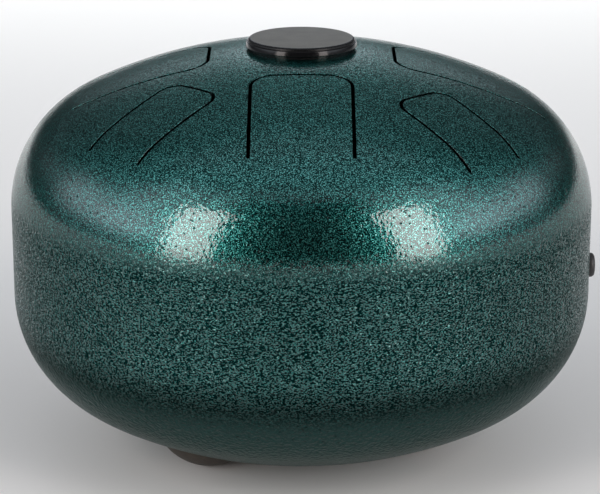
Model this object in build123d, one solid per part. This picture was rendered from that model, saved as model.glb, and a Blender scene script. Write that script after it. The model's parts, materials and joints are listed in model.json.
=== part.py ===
"""Steel tongue drum: two pressed steel shells welded into one hollow body.

Eight tongues are cut in the upper shell, each free on three sides and bending at its root.
A snap-in plug with a bare badge disc closes the hole in the crown, a small push-in plug closes
the hole in the side, and the drum stands on three domed rubber feet around its sound port.

Frame: +Z up along the drum's axis, the front is -Y, and the feet stand on Z = 0. Sizes are in mm.
"""

from build123d import *
import os
from dataclasses import dataclass
from math import asin, atan2, cos, radians, sin, sqrt

# Shells
BODY_DIAMETER = 216.0
SHEET = 2.0
KNUCKLE_RADIUS = 44.2
UPPER_DOME_RADIUS = 193.0
UPPER_WALL = 1.4
LOWER_DOME_RADIUS = 171.0
LOWER_WALL = 31.4
PORT_DIAMETER = 64.0
PORT_EDGE_ROUND = 0.7

# Weld at the seam, ground flush outside, with its root showing inside
WELD_FACE = 2.0
WELD_ROOT = 0.8
WELD_ROOT_BEAD = 0.6

# Tongues, measured to the centre line of their slots, and how far each swings at its root, in degrees
KERF = 1.2
ROOT_SPLIT = 0.15
TONGUE_SWING = 0.8
WIDE_WIDTH = 36.0
WIDE_CORNER = 8.0
WIDE_TIP_LAND = 13.5
WIDE_ROOT_INSET = {"front": 23.8, "right": 19.4, "back": 21.6, "left": 24.6}
NARROW_WIDTH = 25.5
NARROW_CORNER = 6.0
NARROW_LENGTH = {"front_right": 36.1, "back_right": 38.0, "back_left": 35.0, "front_left": 39.1}
NARROW_ROOT_INSET = {"front_right": 13.5, "back_right": 14.6, "back_left": 13.2, "front_left": 16.0}
WIDE_BEARING = {"front": 0.0, "right": 90.0, "back": 180.0, "left": 270.0}
NARROW_BEARING = {"front_right": 45.0, "back_right": 135.0, "back_left": 225.0, "front_left": 315.0}

# Plug in the crown, and the badge disc in its top
CROWN_HOLE_DIAMETER = 38.1
PLUG_RIM_OVERHANG = 1.55
PLUG_RIM_DRAFT = 0.4
PLUG_RIM_GAP = 1.2
PLUG_SEAT_WIDTH = 0.7
PLUG_RIM_TOP = 1.9
PLUG_RIM_ROUND = 0.25
PLUG_TOP_PLATE = 1.4
PLUG_SKIRT = 1.4
PLUG_FINGERS = 8
PLUG_FINGER_SLOT = 3.2
BADGE_INSET = 0.6
BADGE_RECESS = 0.9
BADGE_RISE = 1.1
BADGE_ROUND = 1.0

# Push-in plug in the side
SIDE_HOLE_DIAMETER = 6.35
SIDE_HEAD_OVERHANG = 1.425
SIDE_HEAD_HEIGHT = 2.6
SIDE_HEAD_ROUND = 1.5
SIDE_PLUG_DROP = 24.6

# Rubber feet, each square to the bowl
FOOT_COUNT = 3
FOOT_FIRST_BEARING = -48.4
FOOT_NAMES = ("front_left", "right", "back")
FOOT_PORT_LAND = 2.9
FOOT_DIAMETER = 30.2
FOOT_HEIGHT = 6.3
FOOT_WORN_FLAT = 0.3
FOOT_HOLE_DIAMETER = 8.0

# Push-in fits
SEAT_GAP = 0.05
HOLE_CLEARANCE = 0.15
BARB_GRIP = 0.6
BARB_GAP = 0.2
BARB_LENGTH = 2.4

BODY_RADIUS = BODY_DIAMETER / 2
PORT_RADIUS = PORT_DIAMETER / 2
CROWN_HOLE_RADIUS = CROWN_HOLE_DIAMETER / 2
PLUG_RIM_RADIUS = CROWN_HOLE_RADIUS + PLUG_RIM_OVERHANG


def at(x, z):
    """A point of the X-Z plane, in which the round pieces' sections are drawn."""
    return (x, 0, z)


def arc(radius, centre, start, end):
    """An arc of the X-Z plane about a centre, between two angles measured from +Z."""
    angles = (start, (start + end) / 2, end)
    points = [at(centre[0] + radius * sin(a), centre[1] + radius * cos(a)) for a in angles]
    return ThreePointArc(*points)


def turned(*lines):
    """The solid that a closed section of the X-Z plane sweeps about the Z axis."""
    return revolve(make_face(Curve() + list(lines)), Axis.Z)


def run(*points):
    """Straight lines through the points of a section."""
    return [Line(at(*a), at(*b)) for a, b in zip(points, points[1:])]


@dataclass(frozen=True)
class Head:
    """A pressed shell half with its rim at height 0 and its crown up: wall, knuckle and dome."""

    dome: float
    wall: float
    hole: float

    @property
    def knuckle_centre(self):
        return (BODY_RADIUS - KNUCKLE_RADIUS, self.wall)

    @property
    def dome_centre(self):
        across = self.knuckle_centre[0]
        return (0.0, self.wall - sqrt((self.dome - KNUCKLE_RADIUS) ** 2 - across**2))

    @property
    def blend_angle(self):
        """The angle from the axis at which the dome runs into the knuckle."""
        return atan2(self.knuckle_centre[0], self.wall - self.dome_centre[1])

    @property
    def crown(self):
        return self.dome_centre[1] + self.dome

    def height(self, radius, depth=0.0):
        """Height of the surface that lies at a depth below the outside, at a radius."""
        if radius <= (self.dome - depth) * sin(self.blend_angle):
            return self.dome_centre[1] + sqrt((self.dome - depth) ** 2 - radius**2)
        across = radius - self.knuckle_centre[0]
        return self.wall + sqrt((KNUCKLE_RADIUS - depth) ** 2 - across**2)

    def solid(self):
        dome_in, knuckle_in = self.dome - SHEET, KNUCKLE_RADIUS - SHEET
        hole_out, hole_in = asin(self.hole / self.dome), asin(self.hole / dome_in)
        blend, level = self.blend_angle, radians(90)
        return turned(
            arc(self.dome, self.dome_centre, hole_out, blend),
            arc(KNUCKLE_RADIUS, self.knuckle_centre, blend, level),
            *run(
                (BODY_RADIUS, self.wall),
                (BODY_RADIUS, WELD_FACE / 2),
                (BODY_RADIUS - SHEET, WELD_ROOT / 2),
                (BODY_RADIUS - SHEET, self.wall),
            ),
            arc(knuckle_in, self.knuckle_centre, level, blend),
            arc(dome_in, self.dome_centre, blend, hole_in),
            *run((self.hole, self.height(self.hole, SHEET)), (self.hole, self.height(self.hole))),
        )


UPPER = Head(UPPER_DOME_RADIUS, UPPER_WALL, CROWN_HOLE_RADIUS)
LOWER = Head(LOWER_DOME_RADIUS, LOWER_WALL, PORT_RADIUS)

# The feet set how high the bowl stands, and the bowl sets the seam and the crown
FOOT_RADIUS = FOOT_DIAMETER / 2
FOOT_PITCH_RADIUS = PORT_RADIUS + FOOT_PORT_LAND + FOOT_RADIUS
FOOT_BALL = (FOOT_RADIUS**2 + FOOT_HEIGHT**2) / (2 * FOOT_HEIGHT)
FOOT_SPLAY = asin(FOOT_PITCH_RADIUS / LOWER_DOME_RADIUS)
BOWL_CENTRE_Z = FOOT_BALL - FOOT_WORN_FLAT + (LOWER_DOME_RADIUS + FOOT_HEIGHT - FOOT_BALL) * cos(FOOT_SPLAY)
SEAM_Z = BOWL_CENTRE_Z - LOWER_DOME_RADIUS + LOWER.crown
CROWN_Z = SEAM_Z + UPPER.crown


@dataclass(frozen=True)
class Tongue:
    """One tongue, by the centre line of its slot: free end at tip, bending line at root."""

    name: str
    bearing: float
    width: float
    corner: float
    tip: float
    root: float

    def prism(self, grow, root_grow, root_round=0.0):
        """An upright block of the tongue's outline, grown or shrunk from the slot's centre line."""
        tip = self.tip - grow
        length = self.root + root_grow - tip
        outline = Rectangle(length, self.width + 2 * grow, align=(Align.MIN, Align.CENTER))
        outline = Pos(tip, 0) * outline
        outline = fillet(outline.vertices().sort_by(Axis.X)[:2], self.corner + grow)
        if root_round:
            outline = fillet(outline.vertices().sort_by(Axis.X)[-2:], root_round)
        return Pos(0, 0, SEAM_Z) * Rot(0, 0, self.bearing - 90) * extrude(outline, 2 * UPPER.crown)

    def window(self):
        return self.prism(KERF / 2, ROOT_SPLIT / 2, KERF / 2)

    def blank(self):
        return self.prism(-KERF / 2, -ROOT_SPLIT / 2)

    def bending_line(self):
        """The line at the root, halfway through the sheet, about which a blow turns the tip inwards."""
        turn = radians(self.bearing - 90)
        z = SEAM_Z + UPPER.height(self.root, SHEET / 2)
        return Axis((self.root * cos(turn), self.root * sin(turn), z), (sin(turn), -cos(turn), 0))

    def solid(self, head):
        """The tongue cut from its head, with the joint that stands for the bending of its root."""
        piece = head & self.blank()
        RevoluteJoint("root", piece, self.bending_line(), angular_range=(-TONGUE_SWING, TONGUE_SWING))
        return piece


def all_tongues():
    """Wide tongues reach in to the plug, and narrow ones keep to the shoulder between them."""
    wide_tip = PLUG_RIM_RADIUS + WIDE_TIP_LAND
    found = []
    for name, bearing in WIDE_BEARING.items():
        root = BODY_RADIUS - WIDE_ROOT_INSET[name]
        found.append(Tongue(name, bearing, WIDE_WIDTH, WIDE_CORNER, wide_tip, root))
    for name, bearing in NARROW_BEARING.items():
        root = BODY_RADIUS - NARROW_ROOT_INSET[name]
        tip = root - NARROW_LENGTH[name]
        found.append(Tongue(name, bearing, NARROW_WIDTH, NARROW_CORNER, tip, root))
    return found


def foot_planes():
    """The place of each foot on the bowl, with its axis square to the steel and pointing out."""
    places = []
    for i in range(FOOT_COUNT):
        turn = radians(FOOT_FIRST_BEARING - 90 + i * 360 / FOOT_COUNT)
        out = Vector(sin(FOOT_SPLAY) * cos(turn), sin(FOOT_SPLAY) * sin(turn), -cos(FOOT_SPLAY))
        places.append(Plane(Vector(0, 0, BOWL_CENTRE_Z) + out * LOWER_DOME_RADIUS, z_dir=out))
    return places


def side_plane():
    """The place of the side plug on the lower shell's wall, with its axis pointing out."""
    return Plane((BODY_RADIUS, 0, SEAM_Z - SIDE_PLUG_DROP), z_dir=(1, 0, 0))


def drill(plane, diameter):
    """A round cutter through the sheet at a plane on its outside."""
    return plane * Cylinder(diameter / 2, 4 * SHEET)


def upper_head():
    return Pos(0, 0, SEAM_Z) * UPPER.solid()


def upper_shell(head, tongues):
    return head - [tongue.window() for tongue in tongues]


def lower_shell():
    bowl = LOWER.solid()
    circles = bowl.edges().filter_by(GeomType.CIRCLE)
    port_edges = circles.group_by(SortBy.RADIUS)[0]
    bowl = fillet(port_edges, min(PORT_EDGE_ROUND, 0.4 * SHEET))
    bowl = Pos(0, 0, SEAM_Z) * Rot(180, 0, 0) * bowl
    holes = [drill(plane, FOOT_HOLE_DIAMETER) for plane in foot_planes()]
    return bowl - holes - drill(side_plane(), SIDE_HOLE_DIAMETER)


def seam_weld():
    """The bead between the bevelled rims, flush outside and standing a little proud inside."""
    inside = BODY_RADIUS - SHEET
    section = run(
        (BODY_RADIUS, -WELD_FACE / 2),
        (BODY_RADIUS, WELD_FACE / 2),
        (inside, WELD_ROOT / 2),
        (inside - WELD_ROOT_BEAD, 0),
        (inside, -WELD_ROOT / 2),
        (BODY_RADIUS, -WELD_FACE / 2),
    )
    return Pos(0, 0, SEAM_Z) * turned(*section)


def push_in_stem(hole_diameter):
    """Section points of a stem in a hole, from the hole's mouth at height 0 down to its barbed end."""
    stem = hole_diameter / 2 - HOLE_CLEARANCE
    shoulder = -SHEET - BARB_GAP
    barb = hole_diameter / 2 + BARB_GRIP
    end = shoulder - BARB_LENGTH
    return [(stem, shoulder), (barb, shoulder), (stem - BARB_GRIP, end), (0, end)]


def side_plug():
    head = SIDE_HOLE_DIAMETER / 2 + SIDE_HEAD_OVERHANG
    stem = push_in_stem(SIDE_HOLE_DIAMETER)
    mouth = (stem[0][0], SEAT_GAP)
    shoulder = SIDE_HEAD_HEIGHT - SIDE_HEAD_ROUND
    section = run((0, SIDE_HEAD_HEIGHT), (head - SIDE_HEAD_ROUND, SIDE_HEAD_HEIGHT))
    section += [arc(SIDE_HEAD_ROUND, (head - SIDE_HEAD_ROUND, shoulder), 0, radians(90))]
    section += run((head, shoulder), (head, SEAT_GAP), mouth, *stem, (0, SIDE_HEAD_HEIGHT))
    return side_plane() * turned(*section)


def foot(plane):
    """A rubber dome whose base follows the bowl, with a push-in stem and a flat worn at the floor."""
    ball_centre = FOOT_HEIGHT - FOOT_BALL
    half = asin(FOOT_RADIUS / FOOT_BALL)
    base = LOWER_DOME_RADIUS + SEAT_GAP
    stem = push_in_stem(FOOT_HOLE_DIAMETER)
    base_out, base_in = asin(FOOT_RADIUS / base), asin(stem[0][0] / base)
    base_edge = base * cos(base_out) - LOWER_DOME_RADIUS
    mouth = base * cos(base_in) - LOWER_DOME_RADIUS
    dome = turned(
        arc(FOOT_BALL, (0, ball_centre), 0, half),
        *run((FOOT_RADIUS, 0), (FOOT_RADIUS, base_edge)),
        arc(base, (0, -LOWER_DOME_RADIUS), base_out, base_in),
        *run((stem[0][0], mouth), *stem, (0, FOOT_HEIGHT)),
    )
    below_floor = Box(BODY_DIAMETER, BODY_DIAMETER, FOOT_BALL, align=(Align.CENTER, Align.CENTER, Align.MAX))
    return plane * dome - below_floor


def badge_radius():
    return PLUG_RIM_RADIUS - PLUG_RIM_DRAFT - BADGE_INSET


def centre_plug():
    """A moulded cap with a rim, a skirt split into snap fingers and a recess for the badge."""
    seat = UPPER_DOME_RADIUS + SEAT_GAP
    seat_centre = (0, CROWN_Z - UPPER_DOME_RADIUS)
    skirt = CROWN_HOLE_RADIUS - HOLE_CLEARANCE
    bore = skirt - PLUG_SKIRT
    barb = CROWN_HOLE_RADIUS + BARB_GRIP
    seat_end = CROWN_HOLE_RADIUS + PLUG_SEAT_WIDTH
    seat_in, seat_out = asin(skirt / seat), asin(seat_end / seat)
    rim_bottom = SEAM_Z + UPPER.height(PLUG_RIM_RADIUS) + PLUG_RIM_GAP
    rim_top = CROWN_Z + PLUG_RIM_TOP
    recess = rim_top - BADGE_RECESS
    ceiling = recess - PLUG_TOP_PLATE
    shoulder = SEAM_Z + UPPER.height(CROWN_HOLE_RADIUS + BARB_GRIP, SHEET) - BARB_GAP
    end = shoulder - BARB_LENGTH
    recess_radius = badge_radius() + HOLE_CLEARANCE
    ledge = PLUG_RIM_RADIUS - PLUG_RIM_DRAFT
    cap = turned(
        *run(
            (0, recess),
            (recess_radius, recess),
            (recess_radius, rim_top),
            (ledge - PLUG_RIM_ROUND, rim_top),
            (ledge, rim_top - PLUG_RIM_ROUND),
            (PLUG_RIM_RADIUS, rim_bottom),
            (seat_end, rim_bottom),
            (seat_end, seat_centre[1] + seat * cos(seat_out)),
        ),
        arc(seat, seat_centre, seat_out, seat_in),
        *run(
            (skirt, seat_centre[1] + seat * cos(seat_in)),
            (skirt, shoulder),
            (barb, shoulder),
            (skirt - BARB_GRIP, end),
            (bore, end),
            (bore, ceiling),
            (0, ceiling),
            (0, recess),
        ),
    )
    slot_depth = CROWN_Z - end
    slot = Pos(bore, 0, end) * Box(4 * PLUG_SKIRT, PLUG_FINGER_SLOT, 2 * (slot_depth - SHEET))
    return cap - [Rot(0, 0, i * 360 / PLUG_FINGERS) * slot for i in range(PLUG_FINGERS)]


def badge_disc():
    """A bare disc with a rounded edge, lying in the plug's recess."""
    radius = badge_radius()
    bottom = CROWN_Z + PLUG_RIM_TOP - BADGE_RECESS
    top = CROWN_Z + PLUG_RIM_TOP + BADGE_RISE
    return turned(
        *run((0, bottom), (radius, bottom), (radius, top - BADGE_ROUND)),
        arc(BADGE_ROUND, (radius - BADGE_ROUND, top - BADGE_ROUND), radians(90), 0),
        *run((radius - BADGE_ROUND, top), (0, top), (0, bottom)),
    )


def build():
    """Every piece of the drum, by its name."""
    tongues = all_tongues()
    head = upper_head()
    pieces = {
        "upper_shell": upper_shell(head, tongues),
        "lower_shell": lower_shell(),
        "seam_weld": seam_weld(),
        "centre_plug": centre_plug(),
        "badge_disc": badge_disc(),
        "side_plug": side_plug(),
    }
    for tongue in tongues:
        pieces[f"tongue_{tongue.name}"] = tongue.solid(head)
    for name, plane in zip(FOOT_NAMES, foot_planes()):
        pieces[f"foot_{name}"] = foot(plane)
    return pieces


PIECES = build()

if __name__ == "__main__":
    os.makedirs("parts", exist_ok=True)
    for piece_name, piece in PIECES.items():
        export_step(piece, f"parts/{piece_name}.step")
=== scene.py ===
"""A steel tongue drum in green hammered paint: its looks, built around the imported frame.

Sizes are in metres in the drum's own frame: +Z up along its axis, the front towards -Y, the floor at Z = 0.
"""

import json
import logging
from collections.abc import Iterable, Sequence
from dataclasses import dataclass, field
from enum import Enum
from math import asin, atan2, ceil, cos, hypot, pi, radians, sin, sqrt, tan
from typing import Any

import bpy
from bpy.types import ID, Material, Node, NodeSocket, NodeTree, Object
from mathutils import Matrix, Vector
from mathutils.geometry import delaunay_2d_cdt

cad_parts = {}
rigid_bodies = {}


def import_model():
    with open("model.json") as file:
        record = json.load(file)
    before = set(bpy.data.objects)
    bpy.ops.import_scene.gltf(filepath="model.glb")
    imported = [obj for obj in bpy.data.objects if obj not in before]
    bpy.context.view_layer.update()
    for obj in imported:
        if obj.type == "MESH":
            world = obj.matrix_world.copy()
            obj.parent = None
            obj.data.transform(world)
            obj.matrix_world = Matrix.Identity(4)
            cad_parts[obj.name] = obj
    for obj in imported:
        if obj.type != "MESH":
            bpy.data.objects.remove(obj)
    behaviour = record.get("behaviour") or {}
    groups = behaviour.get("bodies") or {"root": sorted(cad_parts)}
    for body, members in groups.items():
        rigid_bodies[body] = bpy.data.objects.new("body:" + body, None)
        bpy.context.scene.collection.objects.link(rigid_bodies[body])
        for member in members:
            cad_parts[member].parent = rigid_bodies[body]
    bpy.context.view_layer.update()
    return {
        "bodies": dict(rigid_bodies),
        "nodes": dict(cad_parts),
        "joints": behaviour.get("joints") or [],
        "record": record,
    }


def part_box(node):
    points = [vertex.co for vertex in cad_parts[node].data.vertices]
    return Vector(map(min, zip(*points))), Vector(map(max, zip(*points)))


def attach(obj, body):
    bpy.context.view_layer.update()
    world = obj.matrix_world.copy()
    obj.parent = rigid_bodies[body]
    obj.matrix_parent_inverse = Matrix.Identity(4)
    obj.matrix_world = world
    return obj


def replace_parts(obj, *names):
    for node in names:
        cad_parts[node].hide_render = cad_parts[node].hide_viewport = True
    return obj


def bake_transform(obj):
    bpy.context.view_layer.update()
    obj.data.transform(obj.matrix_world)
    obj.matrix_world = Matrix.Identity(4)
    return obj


LOG = logging.getLogger("tongue_drum")
MM = 0.001
BODY = "drum"
ON_AXIS = 1e-9  # a point nearer to the axis than this is on it
SAME_POINT = 1e-7  # points nearer to each other than this are one
SAME_POINT_MM = 1e-5  # the same, for a plan in millimetres
WIDE_FROM = 15.0 * MM  # half the width from which a tongue is a wide one
VIEW_HEIGHT = 77.0 * MM  # the height that the camera and the lamps face

Flat = tuple[float, float]  # a point of a plan or a section
Corner = tuple[float, float, float]  # a point of a section, and the radius that rounds it
Band = tuple[float, float]  # where something starts, and where it is full
Stops = tuple[tuple[float, float], ...]  # bearings in degrees, and how light it is at each
Colour = tuple[float, float, float]


class PaintSlot(Enum):
    """The record's material slots, one for each finish."""

    SHELL = "hammered_paint"
    PLUG = "plug_gloss_black"
    BADGE = "badge_grey"
    FOOT = "foot_rubber"
    SIDE_PLUG = "side_plug_black"


class SlotSide(Enum):
    """Which side of a tongue's slot a wall belongs to, with its sign along the slot's outward direction."""

    SHELL = 1.0
    TONGUE = -1.0


class TongueKind(Enum):
    """The two tongue patterns, each with the radius of its free corners."""

    WIDE = 8.0 * MM
    NARROW = 6.0 * MM


# Mesh tools.


def steps(first: float, last: float, count: int) -> list[float]:
    """Evenly spaced values with both ends.

    Args:
        first: The first value.
        last: The last value.
        count: How many gaps lie between them.

    Returns:
        One value more than there are gaps.
    """
    return [first + (last - first) * i / count for i in range(count + 1)]


def around(radius: float, sides: int) -> list[Flat]:
    """Evenly spaced points on a circle about the axis.

    Args:
        radius: The circle's radius.
        sides: How many points there are.

    Returns:
        The points, seen from above.
    """
    return [(radius * cos(2 * pi * k / sides), radius * sin(2 * pi * k / sides)) for k in range(sides)]


@dataclass
class MeshDraft:
    """A mesh in the making: its points, its faces and the normal at each face's corners."""

    points: list[Vector] = field(default_factory=list)
    faces: list[tuple[int, ...]] = field(default_factory=list)
    normals: list[Vector] = field(default_factory=list)

    def point(self, place: Sequence[float]) -> int:
        """Adds a point and returns its number."""
        self.points.append(Vector(place))
        return len(self.points) - 1

    def face(self, ring: Sequence[int], normals: Sequence[Vector]) -> None:
        """Adds a face, turned so that it looks the way that its normals point.

        Args:
            ring: The numbers of its points, in order.
            normals: The shading normal at each of them.
        """
        ring, normals = list(ring), list(normals)
        turn = Vector((0.0, 0.0, 0.0))
        for a, b in zip(ring, ring[1:] + ring[:1]):
            turn += self.points[a].cross(self.points[b])
        if turn.dot(sum(normals, Vector((0.0, 0.0, 0.0)))) < 0:
            ring.reverse()
            normals.reverse()
        self.faces.append(tuple(ring))
        self.normals.extend(normals)

    def strip(
        self,
        first: Sequence[int],
        second: Sequence[int],
        first_normals: Sequence[Vector],
        second_normals: Sequence[Vector],
        closed: bool = False,
    ) -> None:
        """Joins two rows of points with a band of four-sided faces.

        Args:
            first: Numbers of the points of one row.
            second: Numbers of the points of the other row, as many.
            first_normals: Normals along the first row.
            second_normals: Normals along the second row.
            closed: Whether the rows are rings.
        """
        count = len(first)
        for i in range(count if closed else count - 1):
            j = (i + 1) % count
            self.face(
                (first[i], first[j], second[j], second[i]),
                (first_normals[i], first_normals[j], second_normals[j], second_normals[i]),
            )

    def to_object(self, name: str) -> Object:
        """Makes the drafted mesh a smooth object with its own corner normals.

        Args:
            name: The piece's name.

        Returns:
            The new object, linked to the scene.
        """
        mesh = bpy.data.meshes.new(name)
        mesh.from_pydata([tuple(p) for p in self.points], [], self.faces)
        mesh.shade_smooth()
        mesh.normals_split_custom_set([tuple(n.normalized()) for n in self.normals])
        mesh.update()
        return link_object(name, mesh)


def link_object(name: str, data: ID) -> Object:
    """Makes an object of some data and links it to the scene.

    Args:
        name: The object's name.
        data: A mesh, lamp or camera.

    Returns:
        The new object.
    """
    made = bpy.data.objects.new(name, data)
    bpy.context.scene.collection.objects.link(made)
    return made


def rounded(path: Sequence[Corner], facets: int = 6) -> list[Flat]:
    """Rounds the corners of a section.

    Args:
        path: Points of the section as radius, height and the radius that rounds the corner there.
        facets: How many lines stand for each rounded corner.

    Returns:
        The section's points with the corners rounded.
    """
    out: list[Flat] = []
    for i, (r, z, fillet) in enumerate(path):
        here = Vector((r, z))
        if fillet <= 0 or i in (0, len(path) - 1):
            out.append((r, z))
            continue
        before = (Vector(path[i - 1][:2]) - here).normalized()
        after = (Vector(path[i + 1][:2]) - here).normalized()
        half = before.angle(after) / 2
        reach = fillet / tan(half)
        centre = here + (before + after).normalized() * (fillet / sin(half))
        start, end = here + before * reach - centre, here + after * reach - centre
        sweep = start.angle_signed(end)
        for s in steps(0.0, 1.0, facets):
            turn = Matrix.Rotation(-sweep * s, 2)
            out.append(tuple(centre + turn @ start))
    return out


def turned(
    name: str, section: Sequence[Flat], segments: int, closed: bool, place: Matrix | None = None
) -> Object:
    """Turns a section about the Z axis into a closed mesh.

    Args:
        name: The piece's name.
        section: Points as radius and height, from the axis to the axis, or a loop that keeps off it.
        segments: How many sides the turned piece has.
        closed: Whether the section is a loop.
        place: Where the turned piece goes, if it isn't on the drum's axis.

    Returns:
        The new object, smooth with its corners left crisp.
    """
    points: list[Vector] = []
    rows: list[list[int]] = []
    for r, z in section:
        if r < ON_AXIS:
            rows.append([len(points)] * segments)
            points.append(Vector((0.0, 0.0, z)))
            continue
        rows.append([len(points) + k for k in range(segments)])
        points += [Vector((x, y, z)) for x, y in around(r, segments)]
    faces: list[tuple[int, ...]] = []
    pairs = list(zip(rows, rows[1:])) + ([(rows[-1], rows[0])] if closed else [])
    for low, high in pairs:
        for k in range(segments):
            m = (k + 1) % segments
            ring = list(dict.fromkeys((low[k], low[m], high[m], high[k])))
            if len(ring) > 2:
                faces.append(tuple(ring))
    mesh = bpy.data.meshes.new(name)
    mesh.from_pydata([tuple((place or Matrix.Identity(4)) @ p) for p in points], [], faces)
    made = link_object(name, mesh)
    face_outwards(made)
    return made


def face_outwards(piece: Object, crisp: float = 32.0) -> None:
    """Turns a closed mesh's faces outwards and shades it smooth, with sharp corners left crisp.

    Args:
        piece: The closed mesh.
        crisp: The angle in degrees above which an edge stays a corner.
    """
    mesh = piece.data
    volume = 0.0
    for polygon in mesh.polygons:
        corners = [mesh.vertices[v].co for v in polygon.vertices]
        for a, b in zip(corners[1:], corners[2:]):
            volume += corners[0].dot(a.cross(b))
    if volume < 0:
        mesh.flip_normals()
    mesh.shade_smooth()
    mesh.set_sharp_from_angle(angle=radians(crisp))
    mesh.update()


def carve(piece: Object, cutters: Sequence[Object]) -> None:
    """Cuts closed meshes out of a piece, and removes the cutters.

    Args:
        piece: The piece to cut.
        cutters: The meshes that are cut out of it.
    """
    for cutter in cutters:
        cut = piece.modifiers.new("cut", "BOOLEAN")
        cut.operation, cut.solver, cut.object = "DIFFERENCE", "EXACT", cutter
    graph = bpy.context.evaluated_depsgraph_get()
    mesh = bpy.data.meshes.new_from_object(piece.evaluated_get(graph))
    piece.modifiers.clear()
    old, piece.data = piece.data, mesh
    bpy.data.meshes.remove(old)
    mesh.name = piece.name
    for cutter in cutters:
        bpy.data.objects.remove(cutter)
    face_outwards(piece)


# Finishes.


class NodeBench:
    """A short way to add and wire the nodes of one material or world."""

    def __init__(self, tree: NodeTree) -> None:
        """Clears a node tree and keeps it to work on."""
        tree.nodes.clear()
        self.tree = tree

    def add(self, kind: str, inputs: dict[str | int, Any] | None = None, **settings: Any) -> Node:
        """Adds a node.

        Args:
            kind: The node's type.
            inputs: A value or an output socket for each of its inputs, by name or number.
            **settings: The node's own settings.

        Returns:
            The new node.
        """
        node = self.tree.nodes.new(kind)
        for name, value in settings.items():
            setattr(node, name, value)
        for name, value in (inputs or {}).items():
            if isinstance(value, NodeSocket):
                self.tree.links.new(value, node.inputs[name])
            else:
                node.inputs[name].default_value = value
        return node

    def math(self, operation: str, a: Any, b: Any = 0.0) -> NodeSocket:
        """Adds a Math node and returns its result."""
        return self.add("ShaderNodeMath", {0: a, 1: b}, operation=operation).outputs[0]

    def times(self, first: Any, *others: Any) -> NodeSocket:
        """Multiplies values together.

        Args:
            first: The first value.
            *others: The values that it is multiplied by.

        Returns:
            The product.
        """
        for other in others:
            first = self.math("MULTIPLY", first, other)
        return first

    def vector(self, operation: str, a: Any, b: Any) -> NodeSocket:
        """Adds a Vector Math node for two vectors and returns its result."""
        return self.add("ShaderNodeVectorMath", {0: a, 1: b}, operation=operation).outputs[0]

    def scaled(self, vector: Any, scale: Any) -> NodeSocket:
        """Scales a vector or a colour and returns the result."""
        return self.add("ShaderNodeVectorMath", {0: vector, "Scale": scale}, operation="SCALE").outputs[0]

    def reach(self, place: Any) -> NodeSocket:
        """Returns how far a place is from the Z axis."""
        flat = self.vector("MULTIPLY", place, (1.0, 1.0, 0.0))
        return self.add("ShaderNodeVectorMath", {0: flat}, operation="LENGTH").outputs["Value"]

    def fit(
        self, value: Any, low: float, high: float, to_low: float = 0.0, to_high: float = 1.0
    ) -> NodeSocket:
        """Maps a range smoothly on to another.

        Args:
            value: The socket to map.
            low: Where the range starts.
            high: Where it ends.
            to_low: What the start becomes.
            to_high: What the end becomes.

        Returns:
            The mapped value, which stays between the new ends.
        """
        inputs = {0: value, 1: low, 2: high, 3: to_low, 4: to_high}
        return self.add("ShaderNodeMapRange", inputs, interpolation_type="SMOOTHSTEP").outputs[0]

    def mix(self, share: Any, first: Any, second: Any) -> NodeSocket:
        """Mixes two colours by a share and returns the result."""
        first, second = [(*c, 1.0) if isinstance(c, tuple) else c for c in (first, second)]
        return self.add("ShaderNodeMix", {0: share, 6: first, 7: second}, data_type="RGBA").outputs[2]

    def noise(self, place: Any, size: float, detail: float = 2.0, rough: float = 0.5) -> NodeSocket:
        """Adds a noise of a given size in metres.

        Args:
            place: The coordinate that it follows.
            size: The width of its main features.
            detail: How many finer layers it has.
            rough: How strong those are.

        Returns:
            Its value, from 0 to 1.
        """
        inputs = {"Vector": place, "Scale": 1.0 / size, "Detail": detail, "Roughness": rough}
        return self.add("ShaderNodeTexNoise", inputs, noise_dimensions="3D").outputs[0]

    def bump(self, height: Any, depth: float, normal: Any = None) -> NodeSocket:
        """Adds a relief of a given depth in metres.

        Args:
            height: The relief's height from 0 to 1.
            depth: The depth that 1 stands for.
            normal: The normal that it adds to, if there is one.

        Returns:
            The new normal.
        """
        inputs = {"Height": height, "Strength": 1.0, "Distance": depth}
        if normal is not None:
            inputs["Normal"] = normal
        return self.add("ShaderNodeBump", inputs).outputs[0]


def new_material(name: str) -> tuple[Material, NodeBench, NodeSocket, Node]:
    """Makes an empty material to build a finish in.

    Args:
        name: The finish's name.

    Returns:
        The material, its bench, the coordinate on the piece in metres, and the main shader.
    """
    material = bpy.data.materials.new(name)
    material.use_nodes = True
    bench = NodeBench(material.node_tree)
    place = bench.add("ShaderNodeTexCoord").outputs["Object"]
    shader = bench.add("ShaderNodeBsdfPrincipled")
    bench.add("ShaderNodeOutputMaterial", {"Surface": shader.outputs[0]})
    return material, bench, place, shader


def set_inputs(bench: NodeBench, shader: Node, inputs: dict[str, Any]) -> None:
    """Sets a shader's inputs.

    Args:
        bench: The bench that the shader is on.
        shader: The shader.
        inputs: A value or a socket for each input, by name.
    """
    for name, value in inputs.items():
        if isinstance(value, NodeSocket):
            bench.tree.links.new(value, shader.inputs[name])
        else:
            shader.inputs[name].default_value = (*value, 1.0) if isinstance(value, tuple) else value


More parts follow.
